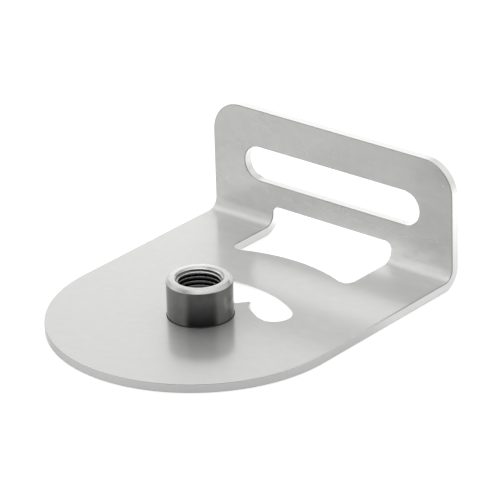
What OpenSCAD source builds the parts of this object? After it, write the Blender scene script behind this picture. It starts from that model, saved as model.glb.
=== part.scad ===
// Threaded mounting bracket: folded sheet bracket with a turned threaded bush.
// Units are millimetres. The origin lies on the underside of the plate, on the
// bush axis. +X runs across the plate, +Y towards the flange, +Z up.
// The bush carries a fine metric thread: 10 mm major diameter, 1 mm pitch. Its
// bore is drawn at the thread's minor diameter.

/* [Sheet] */
// Thickness of the sheet
sheet_t = 2.0; // [1.5:0.1:2.6]
// Inner radius of the fold
bend_r = 2.5; // [1.5:0.1:2.8]

/* [Plate] */
// Width of the plate, and twice the radius of its round front end
plate_w = 65.0; // [62:0.5:72]
// Distance from the bush axis to the back face of the flange
flange_y = 46.0; // [44:0.5:60]

/* [Flange] */
// Height of the flange above the underside
flange_h = 28.0; // [26:0.5:40]
// Radius of the flange's two upper corners
flange_corner_r = 7.4; // [2:0.1:7.8]
// Width of the long slot
slot_w = 8.0; // [5:0.1:9.5]
// Distance between the centres of the slot's round ends
slot_span = 39.7; // [20:0.1:41]
// Height of the slot's centre line above the underside
slot_z = 15.4; // [13.5:0.1:17]

/* [Window] */
// Width of the window across the fold
window_w = 32.5; // [28:0.5:36]
// Height of the window's upper edge above the underside
window_z = 6.3; // [6.2:0.1:8]
// Radius of the window's two upper corners
window_top_r = 1.6; // [0.5:0.1:1.6]
// Radius of the window's two lower corners
window_low_r = 2.0; // [0.5:0.1:2.4]
// Distance from the bush axis to the crest of the window's curved edge
window_y = 32.0; // [30:0.1:34]
// Radius of the window's curved edge
window_edge_r = 36.0; // [32:0.5:44]

/* [Scalloped opening] */
// Distance from the bush axis to the crest of the opening's outer edge
opening_y = 16.6; // [16.2:0.1:18]
// Radius of the opening's outer edge
opening_r = 26.0; // [24:0.5:30]
// Width of each of the two wings
wing_w = 7.5; // [5:0.1:8.4]
// Sideways distance to the centre of each wing's inner round end
wing_in_x = 8.8; // [8:0.1:9.5]
// Sideways distance to the centre of each wing's outer round end
wing_out_x = 12.5; // [11.5:0.1:15]
// Depth of the band that joins the wings, at the two tongues
band_w = 5.6; // [4:0.1:6]
// Diameter of the round recess in the middle
recess_d = 9.1; // [7:0.1:9.4]

/* [Bush] */
// Outside diameter of the bush
bush_d = 14.0; // [13:0.1:14.6]
// Height of the bush above the plate
bush_h = 8.4; // [6:0.1:14]
// Minor diameter of the internal thread
thread_minor_d = 8.92; // [8:0.01:9]
// Diameter of the countersink's mouth
mouth_d = 10.5; // [10:0.05:10.8]
// Radial width of the chamfer on the bush's top edge
rim_chamfer_w = 0.65; // [0.4:0.05:1.1]
// Height of the chamfer on the bush's top edge
rim_chamfer_h = 0.75; // [0.2:0.05:1]
// Size of the small flare round the foot of the bush
foot_flare = 0.15; // [0.05:0.05:0.3]
// Diameter of the spigot that passes through the plate
spigot_d = 11.8; // [11:0.1:12]
// Radial clearance between the spigot and its hole in the plate
spigot_fit = 0.05; // [0.03:0.01:0.15]

/* [Node] */
// Node to draw

/* [Hidden] */
$fn = 96;
half_w = plate_w / 2;
front_r = plate_w / 2;
// Extra length of a cutting tool past each face
over = 1.0;
// Plate, fold and flange meet on these lines
bend_y = flange_y - sheet_t - bend_r;
bend_z = sheet_t + bend_r;
flange_front_y = flange_y - sheet_t;
// Window: centre of the curved edge, corner circles, and where they touch it
window_half = window_w / 2;
edge_cy = window_y - window_edge_r;
low_x = window_half - window_low_r;
low_y = edge_cy + sqrt(pow(window_edge_r + window_low_r, 2) - low_x * low_x);
touch_x = low_x * window_edge_r / (window_edge_r + window_low_r);
touch_y = edge_cy + (low_y - edge_cy) * window_edge_r / (window_edge_r + window_low_r);
// Opening: centre of the outer edge, and the centres of a wing's round ends
opening_cy = opening_y - opening_r;
wing_r = wing_w / 2;
wing_path_r = opening_r - wing_r;
wing_in_y = opening_cy + sqrt(wing_path_r * wing_path_r - wing_in_x * wing_in_x);
wing_out_y = opening_cy + sqrt(wing_path_r * wing_path_r - wing_out_x * wing_out_x);
wing_run = norm([wing_out_x - wing_in_x, wing_out_y - wing_in_y]);
wing_angle = atan2(wing_out_y - wing_in_y, wing_out_x - wing_in_x);
// The band ends on the radial line through each outer round end
band_reach = opening_r * 1.5;
band_x = wing_out_x * band_reach / wing_path_r;
band_y = opening_cy + (wing_out_y - opening_cy) * band_reach / wing_path_r;
spigot_hole_d = spigot_d + 2 * spigot_fit;
bush_r = bush_d / 2;
bush_top = sheet_t + bush_h;
// The countersink is cut at 45 degrees
sink_depth = (mouth_d - thread_minor_d) / 2;

// Outline of the plate up to the fold, with its round front end
module plate_outline() {
  circle(r = front_r);
  translate([-half_w, 0])
    square([plate_w, bend_y]);
}

// One wing of the scalloped opening: a short slot with round ends
module wing_outline() {
  translate([wing_in_x, wing_in_y])
    rotate(wing_angle) {
      circle(d = wing_w);
      translate([wing_run, 0])
        circle(d = wing_w);
      translate([0, -wing_r])
        square([wing_run, wing_w]);
    }
}

// Band under the outer edge that joins both wings and the recess
module band_outline() {
  intersection() {
    translate([0, opening_cy])
      difference() {
        circle(r = opening_r);
        circle(r = opening_r - band_w);
      }
    polygon([
      [0, opening_cy],
      [band_x, band_y],
      [-band_x, band_y]
    ]);
  }
}

// Scalloped opening behind the bush, the same on both sides
module opening_outline() {
  band_outline();
  wing_outline();
  mirror([1, 0])
    wing_outline();
  translate([0, opening_y - recess_d / 2])
    circle(d = recess_d);
}

// Part of the window that lies in the plate, with its curved edge
module window_plate_outline() {
  difference() {
    union() {
      translate([-window_half, low_y])
        square([window_w, flange_y + over - low_y]);
      translate([-touch_x, edge_cy])
        square([2 * touch_x, flange_y + over - edge_cy]);
    }
    translate([0, edge_cy])
      circle(r = window_edge_r);
  }
  for (side = [-1, 1])
    translate([side * low_x, low_y])
      circle(r = window_low_r);
}

// Part of the window that lies in the flange, drawn in the XZ plane
module window_flange_outline() {
  translate([-window_half, sheet_t])
    square([window_w, window_z - window_top_r - sheet_t]);
  translate([-window_half + window_top_r, sheet_t])
    square([window_w - 2 * window_top_r, window_z - sheet_t]);
  for (side = [-1, 1])
    translate([side * (window_half - window_top_r), window_z - window_top_r])
      circle(r = window_top_r);
}

// Outline of the flange above the fold, drawn in the XZ plane
module flange_outline() {
  translate([-half_w, bend_z])
    square([plate_w, flange_h - flange_corner_r - bend_z]);
  translate([-half_w + flange_corner_r, bend_z])
    square([plate_w - 2 * flange_corner_r, flange_h - bend_z]);
  for (side = [-1, 1])
    translate([side * (half_w - flange_corner_r), flange_h - flange_corner_r])
      circle(r = flange_corner_r);
}

// Long slot with round ends, drawn in the XZ plane
module slot_outline() {
  translate([-slot_span / 2, slot_z - slot_w / 2])
    square([slot_span, slot_w]);
  for (side = [-1, 1])
    translate([side * slot_span / 2, slot_z])
      circle(d = slot_w);
}

// Turns a drawing in the XZ plane into a solid between two distances from the axis
module stand(from_y, to_y) {
  translate([0, to_y, 0])
    rotate([90, 0, 0])
      linear_extrude(to_y - from_y)
        children();
}

// Folded sheet with every cut-out
module bracket() {
  color([0.78, 0.78, 0.77])
    difference() {
      union() {
        linear_extrude(sheet_t)
          plate_outline();
        // quarter ring of the fold
        translate([-half_w, bend_y, bend_z])
          rotate([90, 0, 90])
            rotate([0, 0, -90])
              rotate_extrude(angle = 90)
                translate([bend_r, 0])
                  square([sheet_t, plate_w]);
        stand(flange_front_y, flange_y)
          flange_outline();
      }
      translate([0, 0, -over])
        linear_extrude(sheet_t + 2 * over) {
          window_plate_outline();
          opening_outline();
          circle(d = spigot_hole_d);
        }
      stand(bend_y, flange_y + over)
        window_flange_outline();
      stand(flange_front_y - over, flange_y + over)
        slot_outline();
    }
}

// Turned bush: spigot, shoulder on the plate, bevelled rim and threaded bore
module threaded_bush() {
  color([0.45, 0.45, 0.44])
    difference() {
      rotate_extrude()
        polygon([
          [0, 0],
          [spigot_d / 2, 0],
          [spigot_d / 2, sheet_t],
          [bush_r + foot_flare, sheet_t],
          [bush_r, sheet_t + foot_flare],
          [bush_r, bush_top - rim_chamfer_h],
          [bush_r - rim_chamfer_w, bush_top],
          [0, bush_top]
        ]);
      translate([0, 0, -over])
        cylinder(d = thread_minor_d, h = bush_top + 2 * over);
      translate([0, 0, bush_top - sink_depth])
        cylinder(d1 = thread_minor_d, d2 = mouth_d, h = sink_depth);
    }
}

bracket();
threaded_bush();
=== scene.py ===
import math

import bmesh
import bpy
from mathutils import Matrix, Vector
from mathutils.geometry import delaunay_2d_cdt


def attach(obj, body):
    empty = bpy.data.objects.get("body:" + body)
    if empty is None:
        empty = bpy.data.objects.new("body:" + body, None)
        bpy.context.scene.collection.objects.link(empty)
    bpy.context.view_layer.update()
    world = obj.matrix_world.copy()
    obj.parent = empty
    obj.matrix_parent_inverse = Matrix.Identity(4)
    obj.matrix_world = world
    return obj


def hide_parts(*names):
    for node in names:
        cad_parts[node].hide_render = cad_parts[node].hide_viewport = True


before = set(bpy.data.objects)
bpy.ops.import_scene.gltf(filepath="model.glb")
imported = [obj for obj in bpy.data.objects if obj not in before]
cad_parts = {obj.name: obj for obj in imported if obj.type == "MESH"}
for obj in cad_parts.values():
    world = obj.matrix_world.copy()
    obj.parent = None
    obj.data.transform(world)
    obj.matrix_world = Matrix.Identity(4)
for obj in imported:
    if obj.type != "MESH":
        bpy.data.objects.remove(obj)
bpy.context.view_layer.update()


# Folded bracket.
# One blank of 2 mm cold-rolled stainless sheet, cut flat with all its openings,
# lightly deburred on both faces, then folded once so that its rear part stands up.

MM = 0.001                 # sizes are written in millimetres
SHEET = 2.0                # thickness of the sheet
FOLD_IN = 2.5              # inner radius of the fold
HALF_W = 32.5              # half the width, and the radius of the round front end
FOLD_Y = 41.5              # where the fold begins
FOLD_Z = 4.5               # height at which it ends
FLANGE_TOP = 28.0          # height of the flange
FOLD_RUN = (FOLD_IN + SHEET / 2) * math.pi / 2   # length of the fold along the sheet's middle
FOLD_STEPS = 20
FOLD_ROWS = [FOLD_Y + FOLD_RUN * k / FOLD_STEPS for k in range(FOLD_STEPS + 1)]
DEBURR = 0.16              # radius left on the edges of both faces
DEBURR_STEPS = 4
BEAM_CUT = 0.35            # length over which the cutting beam rounds a sharp corner
SHARP = math.radians(25)   # turn of an outline from which a corner counts as sharp
NEAR = 1e-4                # distance below which two points of an outline are one
FACE, WALL, LINE = range(3)      # material slots: faces, cut walls, deburred lines


def stand_v(z):
    """Place along the flat blank of a point at height z on the flange."""
    return FOLD_Y + FOLD_RUN + z - FOLD_Z


def fold_angle(v):
    """How far the sheet is turned at a place along the flat blank."""
    return min(max((v - FOLD_Y) / FOLD_RUN, 0.0), 1.0) * math.pi / 2


def fold(x, v, depth):
    """Folds a point of the flat blank, depth mm under its upper face, and returns it in metres."""
    turn = fold_angle(v)
    ahead = min(v - FOLD_Y, 0.0)
    up = max(v - FOLD_Y - FOLD_RUN, 0.0)
    radius = FOLD_IN + depth
    y = FOLD_Y + ahead + radius * math.sin(turn)
    z = FOLD_Z - radius * math.cos(turn) + up
    return Vector((x, y, z)) * MM


def fold_normal(v, across, along, out):
    """Turns a direction on the flat blank as the fold turns it."""
    c, s = math.cos(fold_angle(v)), math.sin(fold_angle(v))
    return Vector((across, along * c - out * s, along * s + out * c)).normalized()


def arc(cx, cy, r, start, stop, step=3.0):
    """Points on a circle from start to stop, in degrees."""
    n = max(2, math.ceil(abs(stop - start) / step))
    angles = [math.radians(start + (stop - start) * i / n) for i in range(n + 1)]
    return [(cx + r * math.cos(a), cy + r * math.sin(a)) for a in angles]


def rounded(first, corner, last, steps):
    """Points on the curve that takes the place of a corner, at steps from 0 to 1."""
    return [tuple(first * (1 - t) ** 2 + corner * 2 * t * (1 - t) + last * t * t) for t in steps]


def tidy_loop(points):
    """Drops doubled points and rounds each sharp corner, as a cutting beam leaves it."""
    loop = [Vector(p) for i, p in enumerate(points) if math.dist(p, points[i - 1]) > NEAR]
    n = len(loop)
    corners = [i for i, p in enumerate(loop)
               if (p - loop[i - 1]).angle(loop[(i + 1) % n] - p) > SHARP]
    gone, fillets = set(corners), {}
    for i in corners:
        ends = []
        for way in (-1, 1):
            k, left = i, BEAM_CUT
            while (loop[(k + way) % n] - loop[k]).length < left:
                left -= (loop[(k + way) % n] - loop[k]).length
                k = (k + way) % n
                gone.add(k)
            ends.append(loop[k] + (loop[(k + way) % n] - loop[k]).normalized() * left)
        fillets[i] = rounded(ends[0], loop[i], ends[1], (0, 0.17, 0.33, 0.5, 0.67, 0.83, 1))
    out = []
    for i, p in enumerate(loop):
        if i in fillets:
            out += fillets[i]
        elif i not in gone:
            out.append(tuple(p))
    return out


def fold_rows(loop):
    """Adds the points where a loop's sides cross the rows of the fold."""
    slim = 1e-6
    out = []
    for i, p in enumerate(loop):
        q = loop[(i + 1) % len(loop)]
        out.append(p)
        low, high = min(p[1], q[1]) + slim, max(p[1], q[1]) - slim
        for r in sorted((r for r in FOLD_ROWS if low < r < high), reverse=q[1] < p[1]):
            t = (r - p[1]) / (q[1] - p[1])
            out.append((p[0] + (q[0] - p[0]) * t, r))
    return out


# outline of the blank, counterclockwise
CORNER = 7.4               # radius of the flange's upper corners
top_v = stand_v(FLANGE_TOP)
outline = arc(0, 0, HALF_W, 180, 360, 1.5)
outline += arc(HALF_W - CORNER, top_v - CORNER, CORNER, 0, 90)
outline += arc(CORNER - HALF_W, top_v - CORNER, CORNER, 90, 180)

# slot of the flange: radius of its ends, half the distance between them, and its height
SLOT_R, SLOT_HALF, SLOT_Z = 4.0, 19.85, 15.4
slot = arc(-SLOT_HALF, stand_v(SLOT_Z), SLOT_R, 90, 270)
slot += arc(SLOT_HALF, stand_v(SLOT_Z), SLOT_R, -90, 90)

# window across the fold, with its curved edge and two drawn-out corners in the plate: half its
# width, its top's height, the radii of its upper and lower corners, and the curve's circle
WIN_HALF, WIN_Z, WIN_TOP_R, WIN_LOW_R = 16.25, 6.3, 1.6, 2.0
EDGE_R, EDGE_CY = 36.0, -4.0
low_x = WIN_HALF - WIN_LOW_R
low_y = EDGE_CY + math.sqrt((EDGE_R + WIN_LOW_R) ** 2 - low_x ** 2)
lean = math.degrees(math.atan2(low_y - EDGE_CY, low_x))
window = arc(0, EDGE_CY, EDGE_R, 180 - lean, lean, 0.6)
window += arc(low_x, low_y, WIN_LOW_R, 180 + lean, 360)
window += arc(WIN_HALF - WIN_TOP_R, stand_v(WIN_Z) - WIN_TOP_R, WIN_TOP_R, 0, 90)
window += arc(WIN_TOP_R - WIN_HALF, stand_v(WIN_Z) - WIN_TOP_R, WIN_TOP_R, 90, 180)
window += arc(-low_x, low_y, WIN_LOW_R, 180, 360 - lean)

# scalloped opening behind the bush: outer edge, wing, tongue, round recess, and the same mirrored
OPEN_Y, OPEN_R = 16.6, 26.0      # farthest point and radius of the outer edge
WING_R, RECESS_R = 3.75, 4.55
BAND = 5.6                 # width of the opening between the outer edge and a tongue
IN_X, OUT_X = 8.8, 12.5    # the two circles that bound a wing, from the middle
open_cy = OPEN_Y - OPEN_R
in_y = open_cy + math.sqrt((OPEN_R - WING_R) ** 2 - IN_X ** 2)
out_y = open_cy + math.sqrt((OPEN_R - WING_R) ** 2 - OUT_X ** 2)
out_dir = math.degrees(math.atan2(out_y - open_cy, OUT_X))
wing_down = math.degrees(math.atan2(out_y - in_y, OUT_X - IN_X)) - 90
band_r = OPEN_R - BAND
recess_cy = OPEN_Y - RECESS_R


def meet(r1, r2, apart):
    """Angle, seen from the first circle's centre, between the line of centres and a crossing."""
    return math.degrees(math.acos((apart ** 2 + r1 ** 2 - r2 ** 2) / (2 * apart * r1)))


wing_meet = math.degrees(math.atan2(in_y - open_cy, IN_X)) + meet(band_r, WING_R, OPEN_R - WING_R)
recess_meet = 90 - meet(band_r, RECESS_R, recess_cy - open_cy)
tongue = arc(0, open_cy, band_r, wing_meet, recess_meet, 1.0)
tongue_dir = math.degrees(math.atan2(tongue[0][1] - in_y, tongue[0][0] - IN_X))
notch_dir = math.degrees(math.atan2(tongue[-1][1] - recess_cy, tongue[-1][0]))
half = arc(0, open_cy, OPEN_R, 90, out_dir, 1.0)
half += arc(OUT_X, out_y, WING_R, out_dir, wing_down)
half += arc(IN_X, in_y, WING_R, wing_down, tongue_dir)
half += tongue
half += arc(0, recess_cy, RECESS_R, notch_dir, -90)
opening = half + [(-x, y) for x, y in reversed(half)]
opening.reverse()

# hole for the bush's spigot
SPIGOT_HOLE_R = 5.95
spigot_hole = arc(0, 0, SPIGOT_HOLE_R, 0, 360)


def twice_area(loop):
    """Twice a loop's area, positive when the loop runs counterclockwise."""
    return sum(p[0] * q[1] - q[0] * p[1] for p, q in zip(loop, loop[1:] + loop[:1]))


def folded_sheet(name, outer, holes):
    """Mesh of the folded sheet: two faces, and for each loop a wall with rounded edges."""
    loops = []
    for k, loop in enumerate([outer] + holes):
        loop = fold_rows(tidy_loop(loop))
        if (twice_area(loop) > 0) == bool(k):
            loop.reverse()
        loops.append(loop)      # material on the left of each loop
    verts, normals, flat, faces, slots = [], [], [], [], []

    def add(x, v, depth, normal):
        verts.append(fold(x, v, depth))
        normals.append(fold_normal(v, *normal))
        flat.append((x * MM, v * MM))
        return len(verts) - 1

    section = []                # inset, depth and lean of the wall's cross-section
    for k in range(DEBURR_STEPS + 1):
        t = math.pi / 2 * k / DEBURR_STEPS
        section.append((DEBURR * (1 - math.sin(t)), DEBURR * (1 - math.cos(t)), t))
    section += [(i, SHEET - d, math.pi - t) for i, d, t in reversed(section)]
    rims = []
    for loop in loops:
        n = len(loop)
        rows = []
        for inset, depth, t in section:
            row = []
            for i, p in enumerate(loop):
                before = (Vector(p) - Vector(loop[i - 1])).normalized()
                after = (Vector(loop[(i + 1) % n]) - Vector(p)).normalized()
                out_a, out_b = Vector((before.y, -before.x)), Vector((after.y, -after.x))
                out = (out_a + out_b) / (1 + out_a.dot(out_b))
                side = out.normalized() * math.sin(t)
                row.append(add(p[0] - out.x * inset, p[1] - out.y * inset, depth,
                               (side.x, side.y, math.cos(t))))
            rows.append(row)
        for k, (a, b) in enumerate(zip(rows, rows[1:])):
            for i in range(n):
                j = (i + 1) % n
                faces.append((a[i], b[i], b[j], a[j]))
                slots.append(WALL if k == DEBURR_STEPS else LINE)
        rims.append((rows[0], rows[-1]))

    # the two faces: one triangulation between all rims, with the fold's rows as fixed lines
    rim_flat = [(flat[i], i) for top, low in rims for i in top]
    index = {i: k for k, (p, i) in enumerate(rim_flat)}
    points = [Vector(p) / MM for p, i in rim_flat]
    lines = [(index[i], index[j]) for top, low in rims for i, j in zip(top, top[1:] + top[:1])]
    for v in FOLD_ROWS:
        a, b, c, d = sorted((p.x, i) for i, p in enumerate(points) if abs(p.y - v) < 0.1 * NEAR)
        lines += [(a[1], b[1]), (c[1], d[1])]
    coords, _, tris, origin, _, _ = delaunay_2d_cdt(points, lines, [], 0, 1e-7, True)

    def inside(p, loop):
        hit = False
        for a, b in zip(loop, loop[1:] + loop[:1]):
            if (a[1] > p.y) != (b[1] > p.y):
                hit ^= p.x < (b[0] - a[0]) * (p.y - a[1]) / (b[1] - a[1]) + a[0]
        return hit

    top_of = [rim_flat[o[0]][1] for o in origin]
    low_of = {}
    for top, low in rims:
        low_of.update(zip(top, low))
    for tri in tris:
        middle = sum((coords[i] for i in tri), Vector((0, 0))) / 3
        if not inside(middle, loops[0]) or any(inside(middle, h) for h in loops[1:]):
            continue
        a, b, c = (top_of[i] for i in tri)
        faces.append((a, b, c))
        faces.append((low_of[c], low_of[b], low_of[a]))

    mesh = bpy.data.meshes.new(name)
    mesh.from_pydata(verts, [], faces)
    uv = mesh.uv_layers.new(name="blank")
    for loop in mesh.loops:
        uv.data[loop.index].uv = flat[loop.vertex_index]
    for p in mesh.polygons:
        p.use_smooth = True
        p.material_index = slots[p.index] if p.index < len(slots) else FACE
    mesh.normals_split_custom_set_from_vertices(normals)
    piece = bpy.data.objects.new(name, mesh)
    bpy.context.scene.collection.objects.link(piece)
    return piece


def srgb(code):
    """Linear colour of an sRGB hex code."""
    parts = [int(code[i:i + 2], 16) / 255 for i in (1, 3, 5)]
    return [c / 12.92 if c <= 0.04045 else ((c + 0.055) / 1.055) ** 2.4 for c in parts] + [1.0]


def node(tree, kind, inputs=None, out=None, **settings):
    """Adds one node with its settings and links and returns an output, the first one unless out
    names another. Each input is a value or the output of another node."""
    new = tree.nodes.new(kind)
    for name, value in settings.items():
        setattr(new, name, value)
    for name, value in (inputs or {}).items():
        if isinstance(value, bpy.types.NodeSocket):
            tree.links.new(value, new.inputs[name])
        else:
            new.inputs[name].default_value = value
    if out:
        return new.outputs[out]
    return next((o for o in new.outputs if o.enabled), None)


def finish_of(name):
    """A new material with an empty node tree."""
    material = bpy.data.materials.new(name)
    material.use_nodes = True
    material.node_tree.nodes.clear()
    return material, material.node_tree


# cold-rolled, satin: smooth lands that mirror, mixed with pickled grain that scatters widely;
# clouds of 7 mm and patches of 2 mm left by rolling and handling, stronger on the flange;
# the grain is drawn at 0.12 mm, coarser than the real one, so that it shows
rolled, tree = finish_of("cold_rolled_satin_stainless")
flat_place = node(tree, "ShaderNodeUVMap", uv_map="blank")
along_blank = node(tree, "ShaderNodeSeparateXYZ", {0: flat_place}, "Y")
handled = node(tree, "ShaderNodeMapRange", {
    "Value": along_blank, "To Min": 0.4,
    "From Min": FOLD_Y * MM, "From Max": (FOLD_Y + FOLD_RUN) * MM})
wide_place = node(tree, "ShaderNodeMapping", {"Vector": flat_place, "Scale": (0.65, 1, 1)})
clouds = node(tree, "ShaderNodeTexNoise", {
    "Vector": wide_place, "Scale": 1 / (7 * MM), "Detail": 4, "Roughness": 0.55})
clouds = node(tree, "ShaderNodeMix", {"Factor": handled, "A": 0.5, "B": clouds})
patches = node(tree, "ShaderNodeTexNoise", {
    "Vector": wide_place, "Scale": 1 / (1.8 * MM), "Detail": 3, "Roughness": 0.6})
patches = node(tree, "ShaderNodeMix", {"Factor": handled, "A": 0.5, "B": patches})
drawn_place = node(tree, "ShaderNodeMapping", {"Vector": flat_place, "Scale": (1 / 6, 1, 1)})
grain = node(tree, "ShaderNodeTexNoise", {
    "Vector": drawn_place, "Scale": 1 / (0.12 * MM), "Detail": 3, "Roughness": 0.6})
grain = node(tree, "ShaderNodeBump", {"Height": grain, "Strength": 0.1, "Distance": 0.001 * MM})
sheen = node(tree, "ShaderNodeMix", {
    "Factor": patches, "A": srgb("#D8D8D7"), "B": srgb("#E9E9E8")}, data_type="RGBA")
# a painted highlight up to some 4 mm above the fold, mostly at its right-hand end, that widens the
# fold's own highlight
tool_start = node(tree, "ShaderNodeMapRange", {
    "Value": along_blank,
    "From Min": (FOLD_Y + FOLD_RUN * 0.35) * MM, "From Max": (FOLD_Y + FOLD_RUN * 0.7) * MM})
tool_end = node(tree, "ShaderNodeMapRange", {
    "Value": along_blank, "To Min": 1, "To Max": 0,
    "From Min": (FOLD_Y + FOLD_RUN) * MM, "From Max": (FOLD_Y + FOLD_RUN + 4) * MM},
    interpolation_type="SMOOTHSTEP")
across_blank = along_blank.node.outputs["X"]
tool_side = node(tree, "ShaderNodeMapRange", {
    "Value": across_blank, "From Min": -8 * MM, "From Max": 20 * MM, "To Min": 0.1})
tool_rim = node(tree, "ShaderNodeMapRange", {
    "Value": across_blank, "From Min": 25 * MM, "From Max": 32 * MM, "To Min": 1, "To Max": 0.4})
tool_mark = node(tree, "ShaderNodeMapRange", {
    "Value": patches, "From Min": 0.25, "From Max": 0.55, "To Min": 0.5})
for part in (tool_start, tool_end, tool_side, tool_rim):
    tool_mark = node(tree, "ShaderNodeMath", {0: tool_mark, 1: part}, operation="MULTIPLY")
# painted highlight: the sheet turns near white just above the fold
sheen = node(tree, "ShaderNodeMix", {
    "Factor": tool_mark, "A": sheen, "B": srgb("#FBFBFA")}, data_type="RGBA")
land_rough = node(tree, "ShaderNodeMapRange", {"Value": clouds, "To Min": 0.06, "To Max": 0.16})
grain_rough = node(tree, "ShaderNodeMapRange", {"Value": clouds, "To Min": 0.47, "To Max": 0.71})
# bending opens the grain, so the fold is duller than the flat sheet on both sides of it
from_fold = node(tree, "ShaderNodeMath", {
    0: along_blank, 1: (FOLD_Y + FOLD_RUN / 2) * MM}, operation="SUBTRACT")
from_fold = node(tree, "ShaderNodeMath", {0: from_fold}, operation="ABSOLUTE")
bent = node(tree, "ShaderNodeMapRange", {
    "Value": from_fold, "From Min": 2 * MM, "From Max": 9 * MM, "To Min": 1, "To Max": 0},
    interpolation_type="SMOOTHSTEP")
for part in (bent, handled):
    land_rough = node(tree, "ShaderNodeMath", {
        0: part, 1: 0.15, 2: land_rough}, operation="MULTIPLY_ADD")
lands = node(tree, "ShaderNodeBsdfPrincipled", {
    "Metallic": 1, "Base Color": sheen, "Roughness": land_rough, "Normal": grain})
pickled = node(tree, "ShaderNodeBsdfPrincipled", {
    "Metallic": 1, "Base Color": sheen, "Roughness": grain_rough, "Normal": grain})
share = node(tree, "ShaderNodeMapRange", {"Value": clouds, "To Min": 0.41, "To Max": 0.71})
share = node(tree, "ShaderNodeMath", {0: bent, 1: 0.34, 2: share}, operation="MULTIPLY_ADD")
satin = node(tree, "ShaderNodeMixShader", {0: share, 1: lands, 2: pickled})
node(tree, "ShaderNodeOutputMaterial", {"Surface": satin})

# cut edge: the beam's fine upright lines, brighter than the faces and dull; the lines are drawn
# at 0.15 mm, about the real width
edge, tree = finish_of("cut_and_deburred_stainless_edge")
place = node(tree, "ShaderNodeTexCoord", out="Object")
upright = node(tree, "ShaderNodeMapping", {"Vector": place, "Scale": (1, 1, 1 / 8)})
lines = node(tree, "ShaderNodeTexNoise", {"Vector": upright, "Scale": 1 / (0.15 * MM), "Detail": 2})
colour = node(tree, "ShaderNodeMix", {
    "Factor": lines, "A": srgb("#EEEEED"), "B": srgb("#F9F9F8")}, data_type="RGBA")
rough = node(tree, "ShaderNodeMapRange", {"Value": lines, "To Min": 0.38, "To Max": 0.54})
bump = node(tree, "ShaderNodeBump", {"Height": lines, "Strength": 0.3, "Distance": 0.002 * MM})
cut_face = node(tree, "ShaderNodeBsdfPrincipled", {
    "Metallic": 1, "Base Color": colour, "Roughness": rough, "Normal": bump})
node(tree, "ShaderNodeOutputMaterial", {"Surface": cut_face})

# deburred edge: the round left by the deburring wheel, a fine line round each face that is as
# bright as the sheet at the plate's front and darkens towards the flange with a painted dark
# reflection, in strokes of 0.6 mm
rubbed, tree = finish_of("wheel_deburred_stainless_line")
flat_place = node(tree, "ShaderNodeUVMap", uv_map="blank")
along_blank = node(tree, "ShaderNodeSeparateXYZ", {0: flat_place}, "Y")
# painted dark reflection: the line is greyer from 14 to 27 mm along the blank and onto the flange
greyer = node(tree, "ShaderNodeMapRange", {
    "Value": along_blank, "From Min": 14 * MM, "From Max": 27 * MM})
place = node(tree, "ShaderNodeTexCoord", out="Object")
strokes = node(tree, "ShaderNodeTexNoise", {"Vector": place, "Scale": 1 / (0.6 * MM), "Detail": 3})
on_plate = node(tree, "ShaderNodeMix", {
    "Factor": strokes, "A": srgb("#CFCFCE"), "B": srgb("#E9E9E8")}, data_type="RGBA")
on_flange = node(tree, "ShaderNodeMix", {
    "Factor": strokes, "A": srgb("#9A9A99"), "B": srgb("#BEBEBD")}, data_type="RGBA")
colour = node(tree, "ShaderNodeMix", {
    "Factor": greyer, "A": on_plate, "B": on_flange}, data_type="RGBA")
rough = node(tree, "ShaderNodeMapRange", {"Value": strokes, "To Min": 0.35, "To Max": 0.55})
line_metal = node(tree, "ShaderNodeBsdfPrincipled", {
    "Metallic": 1, "Base Color": colour, "Roughness": rough})
node(tree, "ShaderNodeOutputMaterial", {"Surface": line_metal})

bracket = folded_sheet("folded_bracket", outline, [slot, window, opening, spigot_hole])
for material in (rolled, edge, rubbed):
    bracket.data.materials.append(material)
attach(bracket, "root")
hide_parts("bracket")


# Threaded bush.
# Turned from 14 mm stainless bar: bevelled rim, countersunk mouth, fine right-hand
# thread cut right through, and a spigot that is fixed in the plate from below.

BUSH_R, SPIGOT_R = 7.0, 5.9      # radius of the bar and of the spigot
BUSH_TOP = 10.4            # height of the rim
RIM_W, RIM_H = 0.65, 0.75  # width and height of the bevel
FLARE, FOOT_H, FLARE_H = 0.15, 0.28, 0.06      # the foot's flare, its height and that of its edge
PITCH, MINOR_R, GROOVE = 1.0, 4.46, 0.541      # the thread's pitch, inner radius and depth
THREAD_START = 0.62        # share of a turn at which it begins
MOUTH_R = 5.25             # radius of the countersink at the rim
MOUTH_H = 0.35             # depth to which the countersink is seen as one smooth face
LAND = 0.8                 # ring round the bore on the spigot's end
EASE = 0.07                # radius left on the turned edges
AROUND, ROWS_PER_MM = 160, 22    # columns and rows of the bore's mesh
SIDE, RIM, THREAD, SEAT, BEVEL, MOUTH = range(6)      # material slots


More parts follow.
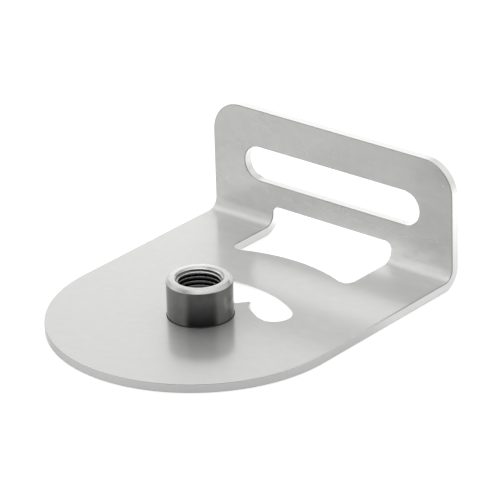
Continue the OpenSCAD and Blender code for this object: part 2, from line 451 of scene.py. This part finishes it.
def thread_tree(material):
    """Geometry Nodes: a tube of rows and columns, pushed outwards along a helix into grooves."""
    tree = bpy.data.node_groups.new("thread_cut", "GeometryNodeTree")
    face = tree.interface
    face.new_socket("Geometry", in_out="OUTPUT", socket_type="NodeSocketGeometry")
    sizes = {}
    for label, kind in (("Pitch", "Float"), ("Minor Radius", "Float"), ("Groove Depth", "Float"),
                        ("Length", "Float"), ("Mouth Radius", "Float"), ("Start", "Float"),
                        ("Columns", "Int"), ("Rows", "Int")):
        sizes[label] = face.new_socket(
            label, in_out="INPUT", socket_type="NodeSocket" + kind).identifier
    given = tree.nodes.new("NodeGroupInput").outputs
    wall = node(tree, "GeometryNodeMeshGrid", {
        "Vertices X": given["Columns"], "Vertices Y": given["Rows"]})
    grid_place = node(tree, "GeometryNodeInputPosition")
    column = node(tree, "ShaderNodeSeparateXYZ", {0: grid_place}, "X")
    row = node(tree, "ShaderNodeSeparateXYZ", {0: grid_place}, "Y")
    round_part = node(tree, "ShaderNodeMath", {0: column, 1: 0.5}, operation="ADD")
    high_part = node(tree, "ShaderNodeMath", {0: row, 1: 0.5}, operation="ADD")
    height = node(tree, "ShaderNodeMath", {0: high_part, 1: given["Length"]}, operation="MULTIPLY")
    angle = node(tree, "ShaderNodeMath", {0: round_part, 1: 2 * math.pi}, operation="MULTIPLY")
    # place within one turn: a right-hand helix climbs as the angle grows
    turn = node(tree, "ShaderNodeMath", {0: height, 1: given["Pitch"]}, operation="DIVIDE")
    turn = node(tree, "ShaderNodeMath", {0: turn, 1: round_part}, operation="SUBTRACT")
    turn = node(tree, "ShaderNodeMath", {0: turn, 1: given["Start"]}, operation="ADD")
    within = node(tree, "ShaderNodeMath", {0: turn}, operation="FRACT")
    from_crest = node(tree, "ShaderNodeMath", {0: within, 1: 0.5}, operation="SUBTRACT")
    from_crest = node(tree, "ShaderNodeMath", {0: from_crest}, operation="ABSOLUTE")
    # the flank runs from half the crest's flat to where the root's flat begins, in pitches
    flank = node(tree, "ShaderNodeMapRange", {
        "Value": from_crest, "From Min": 1 / 8, "From Max": 7 / 16})
    groove = node(tree, "ShaderNodeMath", {
        0: flank, 1: given["Groove Depth"], 2: given["Minor Radius"]}, operation="MULTIPLY_ADD")
    # the mouth is a cone of 45 degrees on each side
    below = node(tree, "ShaderNodeMath", {0: height, 1: given["Length"]}, operation="SUBTRACT")
    sink = node(tree, "ShaderNodeMath", {0: given["Mouth Radius"], 1: below}, operation="ADD")
    radius = node(tree, "ShaderNodeMath", {0: groove, 1: sink}, operation="MAXIMUM")
    uncut = node(tree, "ShaderNodeMath", {0: given["Minor Radius"], 1: sink}, operation="MAXIMUM")
    depth = node(tree, "ShaderNodeMath", {0: radius, 1: uncut}, operation="SUBTRACT")
    depth = node(tree, "ShaderNodeMath", {0: depth, 1: given["Groove Depth"]}, operation="DIVIDE")
    marked = node(tree, "GeometryNodeStoreNamedAttribute", {
        "Geometry": wall, "Name": "depth", "Value": depth})
    place = {"Z": height}
    for axis, turned in (("X", "COSINE"), ("Y", "SINE")):
        part = node(tree, "ShaderNodeMath", {0: angle}, operation=turned)
        place[axis] = node(tree, "ShaderNodeMath", {0: radius, 1: part}, operation="MULTIPLY")
    rolled_up = node(tree, "ShaderNodeCombineXYZ", place)
    bore = node(tree, "GeometryNodeSetPosition", {"Geometry": marked, "Position": rolled_up})
    real = node(tree, "GeometryNodeRealizeInstances", {"Geometry": bore})
    finished = node(tree, "GeometryNodeSetMaterial", {"Geometry": real, "Material": material})
    tree.links.new(finished, tree.nodes.new("NodeGroupOutput").inputs[0])
    return tree, sizes


def toward(azimuth, height=0.0):
    """Unit direction towards an azimuth, counted from the front, and a height, in degrees."""
    az, el = math.radians(azimuth), math.radians(height)
    return math.sin(az) * math.cos(el), -math.cos(az) * math.cos(el), math.sin(el)


# side of the bar: left as drawn, dull, with fine upright lines of 0.35 mm and smudges of 2.5 mm;
# darker towards the foot with painted shade, nearly black low down in front on the right with a
# painted dark reflection, and darker in a patch halfway up farther round to the right, another one
side, tree = finish_of("drawn_stainless_bar_side")
place = node(tree, "ShaderNodeTexCoord", out="Object")
upright = node(tree, "ShaderNodeMapping", {"Vector": place, "Scale": (1, 1, 1 / 30)})
drawn = node(tree, "ShaderNodeTexNoise", {
    "Vector": upright, "Scale": 1 / (0.35 * MM), "Detail": 3, "Roughness": 0.6})
smudge = node(tree, "ShaderNodeTexNoise", {
    "Vector": place, "Scale": 1 / (2.5 * MM), "Detail": 4, "Roughness": 0.6})
height = node(tree, "ShaderNodeSeparateXYZ", {0: place}, "Z")
# painted shade: the side is darker towards the foot, where it meets the plate
rise = node(tree, "ShaderNodeMapRange", {
    "Value": height, "From Min": SHEET * MM, "From Max": (SHEET + 5.5) * MM})
low_side = node(tree, "ShaderNodeMix", {
    "Factor": smudge, "A": srgb("#545454"), "B": srgb("#767676")}, data_type="RGBA")
high_side = node(tree, "ShaderNodeMix", {
    "Factor": smudge, "A": srgb("#737373"), "B": srgb("#919190")}, data_type="RGBA")
shaded = node(tree, "ShaderNodeMix", {
    "Factor": rise, "A": low_side, "B": high_side}, data_type="RGBA")
# the black patch and the dark patch are painted dark reflections
TINT_AZ, DULL_AZ = 42, 120       # degrees from the front at which the black and the dull patch lie
forward = node(tree, "ShaderNodeVectorMath", {
    0: place, 1: toward(TINT_AZ)}, "Value", operation="DOT_PRODUCT")
forward = node(tree, "ShaderNodeMapRange", {
    "Value": forward, "From Min": 0.84 * BUSH_R * MM, "From Max": 0.95 * BUSH_R * MM},
    interpolation_type="SMOOTHSTEP")
low_down = node(tree, "ShaderNodeMapRange", {
    "Value": height, "From Min": SHEET * MM, "From Max": (SHEET + 5.8) * MM,
    "To Min": 0.88, "To Max": 0})
heat = node(tree, "ShaderNodeMath", {0: forward, 1: low_down}, operation="MULTIPLY")
shaded = node(tree, "ShaderNodeMix", {
    "Factor": heat, "A": shaded, "B": srgb("#0E0E0E")}, data_type="RGBA")
# painted dark reflection: a darker patch halfway up, farther round to the right
sideways = node(tree, "ShaderNodeVectorMath", {
    0: place, 1: toward(DULL_AZ)}, "Value", operation="DOT_PRODUCT")
dull = node(tree, "ShaderNodeMapRange", {
    "Value": sideways, "From Min": 0.82 * BUSH_R * MM, "From Max": 0.98 * BUSH_R * MM,
    "To Max": 0.78}, interpolation_type="SMOOTHSTEP")
for start, stop in ((1.8, 3.0), (6.4, 4.4)):
    part = node(tree, "ShaderNodeMapRange", {
        "Value": height, "From Min": (SHEET + start) * MM, "From Max": (SHEET + stop) * MM},
        interpolation_type="SMOOTHSTEP")
    dull = node(tree, "ShaderNodeMath", {0: dull, 1: part}, operation="MULTIPLY")
shaded = node(tree, "ShaderNodeMix", {
    "Factor": dull, "A": shaded, "B": srgb("#2A2A2A")}, data_type="RGBA")
rough = node(tree, "ShaderNodeMapRange", {"Value": smudge, "To Min": 0.12, "To Max": 0.28})
bump = node(tree, "ShaderNodeBump", {"Height": drawn, "Strength": 0.5, "Distance": 0.004 * MM})
metal = node(tree, "ShaderNodeBsdfPrincipled", {
    "Metallic": 1, "Base Color": shaded, "Roughness": rough, "Normal": bump})
node(tree, "ShaderNodeOutputMaterial", {"Surface": metal})


def lathe_cut(name, low, high):
    """Metal cut on the lathe, with fine rings about the axis, its colour between two hex codes."""
    material, tree = finish_of(name)
    place = node(tree, "ShaderNodeTexCoord", out="Object")
    outward = node(tree, "ShaderNodeVectorMath", {0: place, 1: (1, 1, 0)}, operation="MULTIPLY")
    radius = node(tree, "ShaderNodeVectorMath", {0: outward}, "Value", operation="LENGTH")
    height = node(tree, "ShaderNodeSeparateXYZ", {0: place}, "Z")
    ring_place = node(tree, "ShaderNodeCombineXYZ", {"X": radius, "Z": height})
    rings = node(tree, "ShaderNodeTexNoise", {
        "Vector": ring_place, "Scale": 1 / (0.12 * MM), "Detail": 3})
    stains = node(tree, "ShaderNodeTexNoise", {
        "Vector": place, "Scale": 1 / (0.8 * MM), "Detail": 3})
    colour = node(tree, "ShaderNodeMix", {
        "Factor": stains, "A": srgb(low), "B": srgb(high)}, data_type="RGBA")
    rough = node(tree, "ShaderNodeMapRange", {"Value": stains, "To Min": 0.19, "To Max": 0.39})
    bump = node(tree, "ShaderNodeBump", {"Height": rings, "Strength": 0.4, "Distance": 0.002 * MM})
    metal = node(tree, "ShaderNodeBsdfPrincipled", {
        "Metallic": 1, "Base Color": colour, "Roughness": rough, "Normal": bump})
    node(tree, "ShaderNodeOutputMaterial", {"Surface": metal})
    return material


# faces cut on the lathe, in feed lines of 0.12 mm with stains of 0.8 mm: the flat rim, the bevel
# round it and the countersink inside it; the bevel is darker and the countersink darkest, as painted
# shade
faced = lathe_cut("lathe_faced_stainless_rim", "#D4D4D3", "#E4E4E3")
# painted shade: the same metal, darker on the bevel and darkest in the countersink
bevelled = lathe_cut("lathe_bevelled_stainless", "#C8C8C7", "#D6D6D5")
sunk = lathe_cut("countersunk_stainless", "#BABAB9", "#C8C8C7")

# cut thread: lighter on the first crest and darker on the turns below it, as painted shade down the
# bore, darker still in the grooves with painted shade, and torn in patches of 0.25 mm by the tap
cut, tree = finish_of("cut_stainless_thread")
place = node(tree, "ShaderNodeTexCoord", out="Object")
depth = node(tree, "ShaderNodeAttribute", out="Fac", attribute_name="depth")
# painted shade: darker towards the bottom of each groove
oil = node(tree, "ShaderNodeMapRange", {"Value": depth, "From Min": 0.03, "From Max": 0.35})
height = node(tree, "ShaderNodeSeparateXYZ", {0: place}, "Z")
# painted shade down the bore: the crest is light near the mouth and darker deeper in
first_crest = node(tree, "ShaderNodeMapRange", {
    "Value": height, "From Min": (BUSH_TOP - 1.9) * MM, "From Max": (BUSH_TOP - 1.3) * MM})
crest = node(tree, "ShaderNodeMix", {
    "Factor": first_crest, "A": srgb("#9C9C9B"), "B": srgb("#EEEEED")}, data_type="RGBA")
groove = node(tree, "ShaderNodeMix", {
    "Factor": first_crest, "A": srgb("#343433"), "B": srgb("#757574")}, data_type="RGBA")
colour = node(tree, "ShaderNodeMix", {"Factor": oil, "A": crest, "B": groove}, data_type="RGBA")
torn_place = node(tree, "ShaderNodeMapping", {"Vector": place, "Scale": (1, 1, 2.5)})
tears = node(tree, "ShaderNodeTexNoise", {
    "Vector": torn_place, "Scale": 1 / (0.25 * MM), "Detail": 3, "Roughness": 0.6})
rough = node(tree, "ShaderNodeMapRange", {"Value": tears, "To Min": 0.12, "To Max": 0.38})
bump = node(tree, "ShaderNodeBump", {"Height": tears, "Strength": 0.4, "Distance": 0.002 * MM})
metal = node(tree, "ShaderNodeBsdfPrincipled", {
    "Metallic": 1, "Base Color": colour, "Roughness": rough, "Normal": bump})
node(tree, "ShaderNodeOutputMaterial", {"Surface": metal})

# foot: a dark matt line where the bush is seated on the plate, in spots of 0.5 mm
residue, tree = finish_of("dark_seat_line")
place = node(tree, "ShaderNodeTexCoord", out="Object")
spots = node(tree, "ShaderNodeTexNoise", {
    "Vector": place, "Scale": 1 / (0.5 * MM), "Detail": 3, "Roughness": 0.6})
colour = node(tree, "ShaderNodeMix", {
    "Factor": spots, "A": srgb("#0A0A0A"), "B": srgb("#323231")}, data_type="RGBA")
rough = node(tree, "ShaderNodeMapRange", {"Value": spots, "To Min": 0.4, "To Max": 0.75})
crust = node(tree, "ShaderNodeBsdfPrincipled", {
    "Metallic": 0.3, "Base Color": colour, "Roughness": rough})
node(tree, "ShaderNodeOutputMaterial", {"Surface": crust})

# the bar's outer section, from the mouth's edge over the rim and down to the spigot's end
section = [
    (MOUTH_R + EASE, BUSH_TOP), (BUSH_R - RIM_W, BUSH_TOP), (BUSH_R, BUSH_TOP - RIM_H),
    (BUSH_R, SHEET + FOOT_H), (BUSH_R + FLARE, SHEET + FLARE_H), (BUSH_R + FLARE, SHEET),
    (SPIGOT_R, SHEET), (SPIGOT_R, 0.0), (MINOR_R + LAND, 0.0),
]


def eased(points, r):
    """Rounds the corners of a section by about r."""
    out = [points[0]]
    for a, p, b in zip(points, points[1:], points[2:]):
        a, p, b = Vector(a), Vector(p), Vector(b)
        ra, rb = min(r, (a - p).length * 0.4), min(r, (b - p).length * 0.4)
        first, last = p + (a - p).normalized() * ra, p + (b - p).normalized() * rb
        out += rounded(first, p, last, (0, 0.25, 0.5, 0.75, 1))
    return out + [points[-1]]


def turned_bush(name):
    """The lathe-turned outside and the threaded bore, joined into one closed piece."""
    tree, sizes = thread_tree(cut)
    host = bpy.data.objects.new("bore_host", bpy.data.meshes.new("bore_host"))
    bpy.context.scene.collection.objects.link(host)
    maker = host.modifiers.new("thread_cut", "NODES")
    maker.node_group = tree
    rows = round(BUSH_TOP * ROWS_PER_MM) + 1
    for label, value in (("Pitch", PITCH * MM), ("Minor Radius", MINOR_R * MM),
                         ("Groove Depth", GROOVE * MM), ("Length", BUSH_TOP * MM),
                         ("Mouth Radius", MOUTH_R * MM), ("Start", THREAD_START),
                         ("Columns", AROUND + 1), ("Rows", rows)):
        maker[sizes[label]] = value
    graph = bpy.context.evaluated_depsgraph_get()
    bore = bpy.data.meshes.new_from_object(host.evaluated_get(graph), depsgraph=graph)
    host.modifiers.remove(maker)
    bpy.data.objects.remove(host)

    bm = bmesh.new()
    bm.from_mesh(bore)
    bmesh.ops.remove_doubles(bm, verts=bm.verts, dist=1e-7)
    for f in bm.faces:
        high_up = min(v.co.z for v in f.verts) > (BUSH_TOP - MOUTH_H) * MM
        f.material_index = MOUTH if high_up else THREAD
    ring_of = {}
    for v in bm.verts:
        if v.is_boundary:
            k = round(math.atan2(v.co.y, v.co.x) / (2 * math.pi) * AROUND) % AROUND
            ring_of[(v.co.z > BUSH_TOP * MM / 2, k)] = v
    profile = eased(section, EASE)
    rings = [[ring_of[(True, k)] for k in range(AROUND)]]
    angles = [2 * math.pi * k / AROUND for k in range(AROUND)]
    for r, z in profile:
        rings.append([bm.verts.new((r * MM * math.cos(a), r * MM * math.sin(a), z * MM))
                      for a in angles])
    rings.append([ring_of[(False, k)] for k in range(AROUND)])
    heights = [BUSH_TOP] + [z for r, z in profile] + [0.0]
    near = 0.01
    for (a, za), (b, zb) in zip(zip(rings, heights), zip(rings[1:], heights[1:])):
        for k in range(AROUND):
            j = (k + 1) % AROUND
            f = bm.faces.new((a[k], b[k], b[j], a[j]))
            low, high = min(za, zb), max(za, zb)
            f.material_index = RIM
            if low > SHEET - near and high < BUSH_TOP - RIM_H + near:
                f.material_index = SEAT if high < SHEET + FOOT_H + near else SIDE
            elif SHEET < low < BUSH_TOP - 2 * near:
                f.material_index = BEVEL
    bmesh.ops.recalc_face_normals(bm, faces=bm.faces)
    mesh = bpy.data.meshes.new(name)
    bm.to_mesh(mesh)
    bm.free()
    for p in mesh.polygons:
        p.use_smooth = True
    piece = bpy.data.objects.new(name, mesh)
    bpy.context.scene.collection.objects.link(piece)
    for material in (side, faced, cut, residue, bevelled, sunk):
        piece.data.materials.append(material)
    return piece


bush = turned_bush("turned_bush")
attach(bush, "root")
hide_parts("threaded_bush")


# Studio.
# A pale floor, and white light from all round with lamps, a window, grey screens and an unlit
# end behind the camera. The metal owes much of its tone to them: in even light it is paler.

FLOOR_R = 2500.0           # radius of the floor
FLOOR_SEEN = 0.72          # added where the floor is seen directly, to what it returns of the light
FLOOR_IN_METAL = 0.58      # added where it is seen in the metal, before the changes of level below
FLOOR_LEAST = 0.12         # and the least that is left after them
SKY = 1.08                 # level of the white light all round

# paper: matt and evenly pale, with a fibre pattern of 3 mm that hardly shows
paper, tree = finish_of("pale_paper_floor")
place = node(tree, "ShaderNodeTexCoord", out="Object")
fibre = node(tree, "ShaderNodeTexNoise", {"Vector": place, "Scale": 1 / (3 * MM), "Detail": 3})
colour = node(tree, "ShaderNodeMix", {
    "Factor": fibre, "A": srgb("#AAAAAA"), "B": srgb("#B0B0B0")}, data_type="RGBA")


def across_floor(azimuth, start, stop, change):
    """A change of level that sets in between two distances, in mm, from the bush's axis towards
    an azimuth."""
    distance = node(tree, "ShaderNodeVectorMath", {
        0: place, 1: toward(azimuth)}, "Value", operation="DOT_PRODUCT")
    return node(tree, "ShaderNodeMapRange", {
        "Value": distance, "From Min": start * MM, "From Max": stop * MM, "To Max": change},
        interpolation_type="SMOOTHSTEP")


def round_bush(start, stop, change):
    """A change of level that fades out between two distances, in mm, all round the bush's axis."""
    distance = node(tree, "ShaderNodeVectorMath", {0: place}, "Value", operation="LENGTH")
    return node(tree, "ShaderNodeMapRange", {
        "Value": distance, "From Min": start * MM, "From Max": stop * MM,
        "To Min": change, "To Max": 0}, interpolation_type="SMOOTHSTEP")


# what the metal sees of the floor is painted into the floor's glow and isn't even: painted shadow
# near the bracket on the left, in front on the right and all along behind the scalloped opening, and
# painted light far off at the back on the right, under the opening's outer edge and behind the
# flange's left half
left = node(tree, "ShaderNodeMath", {
    0: across_floor(290, 20, 50, 1), 1: round_bush(60, 130, -0.35)}, operation="MULTIPLY")
front = node(tree, "ShaderNodeMath", {
    0: across_floor(40, -5, 14, 1), 1: round_bush(45, 90, -0.38)}, operation="MULTIPLY")
behind = node(tree, "ShaderNodeMath", {
    0: across_floor(140, 66, 105, 1), 1: round_bush(150, 220, 0.6)}, operation="MULTIPLY")
from_centre = node(tree, "ShaderNodeVectorMath", {
    0: place, 1: (0, open_cy * MM, 0)}, "Value", operation="DISTANCE")
in_opening = 0.5
for start, stop in ((OPEN_R - 3.2, OPEN_R - 1.8), (OPEN_R + 0.6, OPEN_R + 0.2)):
    part = node(tree, "ShaderNodeMapRange", {
        "Value": from_centre, "From Min": start * MM, "From Max": stop * MM},
        interpolation_type="SMOOTHSTEP")
    in_opening = node(tree, "ShaderNodeMath", {0: part, 1: in_opening}, operation="MULTIPLY")
in_opening = node(tree, "ShaderNodeMath", {
    0: across_floor(180, 5, 6, 1), 1: in_opening}, operation="MULTIPLY")
past_window = 0.72
for az, start, stop in ((180, 46, 50), (0, -63, -58), (270, -8, 0)):
    part = across_floor(az, start, stop, 1)
    past_window = node(tree, "ShaderNodeMath", {0: part, 1: past_window}, operation="MULTIPLY")
# painted shadow and painted light in the glow that only the metal sees
in_metal = FLOOR_IN_METAL
for part in (left, front, behind, in_opening, past_window, across_floor(180, 26, 31, -0.13)):
    in_metal = node(tree, "ShaderNodeMath", {0: part, 1: in_metal}, operation="ADD")
in_metal = node(tree, "ShaderNodeMath", {0: in_metal, 1: FLOOR_LEAST}, operation="MAXIMUM")
camera_ray = node(tree, "ShaderNodeLightPath", out="Is Camera Ray")
glossy_ray = node(tree, "ShaderNodeLightPath", out="Is Glossy Ray")
seen = node(tree, "ShaderNodeMath", {0: camera_ray, 1: FLOOR_SEEN}, operation="MULTIPLY")
glow = node(tree, "ShaderNodeMath", {0: glossy_ray, 1: in_metal, 2: seen}, operation="MULTIPLY_ADD")
sheet_of_paper = node(tree, "ShaderNodeBsdfPrincipled", {
    "Base Color": colour, "Roughness": 0.9,
    "Emission Color": srgb("#FFFFFF"), "Emission Strength": glow})
node(tree, "ShaderNodeOutputMaterial", {"Surface": sheet_of_paper})

floor_mesh = bpy.data.meshes.new("floor")
bm = bmesh.new()
bmesh.ops.create_circle(bm, cap_ends=True, segments=96, radius=FLOOR_R * MM)
bm.to_mesh(floor_mesh)
bm.free()
floor = bpy.data.objects.new("floor", floor_mesh)
floor.location.z = -0.1 * MM      # just under the bracket, so that the two don't meet
bpy.context.scene.collection.objects.link(floor)
floor.data.materials.append(paper)

world = bpy.data.worlds.new("studio")
bpy.context.scene.world = world
world.use_nodes = True
tree = world.node_tree
tree.nodes.clear()
toward_sky = node(tree, "ShaderNodeTexCoord", out="Generated")

# lamps and grey screens: azimuth from the front, height and reach in degrees, change of level
SCREENS = (
    (285, 65, 25, 0.27),     # lamp high on the left
    (270, 10, 25, -0.40),    # grey screen low on the left
    (345, 50, 25, -0.42),    # grey screen high in front
    (325, 32, 36, -0.35),    # grey screen in front, on the left
    (70, 55, 30, -0.14),     # grey screen high in front, on the right
    (125, 15, 45, -0.35),    # grey wall on the right
    (208, 2, 32, 1.22),      # window low behind
    (215, 45, 40, -0.42),    # grey ceiling above the window
    (180, 50, 35, -0.30),    # the ceiling's darker end
    (0, 90, 50, 0.38),       # lamp overhead
)
level = SKY
for azimuth, height, reach, change in SCREENS:
    near = node(tree, "ShaderNodeVectorMath", {
        0: toward_sky, 1: toward(azimuth, height)}, "Value", operation="DOT_PRODUCT")
    part = node(tree, "ShaderNodeMapRange", {
        "Value": near, "From Min": math.cos(math.radians(reach)), "From Max": 1, "To Max": change},
        interpolation_type="SMOOTHSTEP")
    level = node(tree, "ShaderNodeMath", {0: part, 1: level}, operation="ADD")

# unlit end of the room behind the camera: dark for 40 degrees to either side and up to a height
# of 30, then lighter, up to 62 degrees to either side and a height of 50
DARK_AZ = 46
flat_sky = node(tree, "ShaderNodeVectorMath", {0: toward_sky, 1: (1, 1, 0)}, operation="MULTIPLY")
flat_sky = node(tree, "ShaderNodeVectorMath", {0: flat_sky}, operation="NORMALIZE")
to_dark = node(tree, "ShaderNodeVectorMath", {
    0: flat_sky, 1: toward(DARK_AZ)}, "Value", operation="DOT_PRODUCT")
sideways = node(tree, "ShaderNodeMapRange", {
    "Value": to_dark, "From Min": math.cos(math.radians(62)), "From Max": math.cos(math.radians(40)),
    "To Max": -1}, interpolation_type="SMOOTHSTEP")
upwards = node(tree, "ShaderNodeMapRange", {
    "Value": node(tree, "ShaderNodeSeparateXYZ", {0: toward_sky}, "Z"),
    "From Min": math.sin(math.radians(30)), "From Max": math.sin(math.radians(50)),
    "To Min": 0.98, "To Max": 0}, interpolation_type="SMOOTHSTEP")
lit = node(tree, "ShaderNodeMath", {0: sideways, 1: upwards, 2: 1.0}, operation="MULTIPLY_ADD")
level = node(tree, "ShaderNodeMath", {0: level, 1: lit}, operation="MULTIPLY")
# seen directly, the room is plain white
camera_ray = node(tree, "ShaderNodeLightPath", out="Is Camera Ray")
strength = node(tree, "ShaderNodeMix", {"Factor": camera_ray, "A": level, "B": 1.0})
light = node(tree, "ShaderNodeBackground", {"Color": srgb("#FFFFFF"), "Strength": strength})
node(tree, "ShaderNodeOutputWorld", {"Surface": light})

# camera: turned from the front, raised above the plate and rolled about its own axis, in degrees;
# it looks past AIM, which is in metres, by ASIDE and UPWARDS, in millimetres
AZIMUTH, ELEVATION, ROLL = 40.1511, 24.726, -1.7109
AIM = Vector((0.0, 0.013, 0.0065))
DISTANCE, ASIDE, UPWARDS = 751.42, 2.1421, 4.714
LENS, SENSOR = 257.54, 36.0      # focal length and width of the picture in the camera
camera_data = bpy.data.cameras.new("camera")
camera_data.lens = LENS
camera_data.sensor_width = SENSOR
camera_data.clip_start = 0.05
camera = bpy.data.objects.new("camera", camera_data)
bpy.context.scene.collection.objects.link(camera)
back = Vector(toward(AZIMUTH, ELEVATION))
right = Vector(toward(AZIMUTH + 90))
up = back.cross(right)
c, s = math.cos(math.radians(ROLL)), math.sin(math.radians(ROLL))
turn = Matrix((right * c + up * s, up * c - right * s, back)).transposed()
stand = AIM + turn @ Vector((ASIDE, UPWARDS, DISTANCE)) * MM
camera.matrix_world = Matrix.Translation(stand) @ turn.to_4x4()
bpy.context.scene.camera = camera
bpy.context.scene.view_settings.view_transform = "Standard"
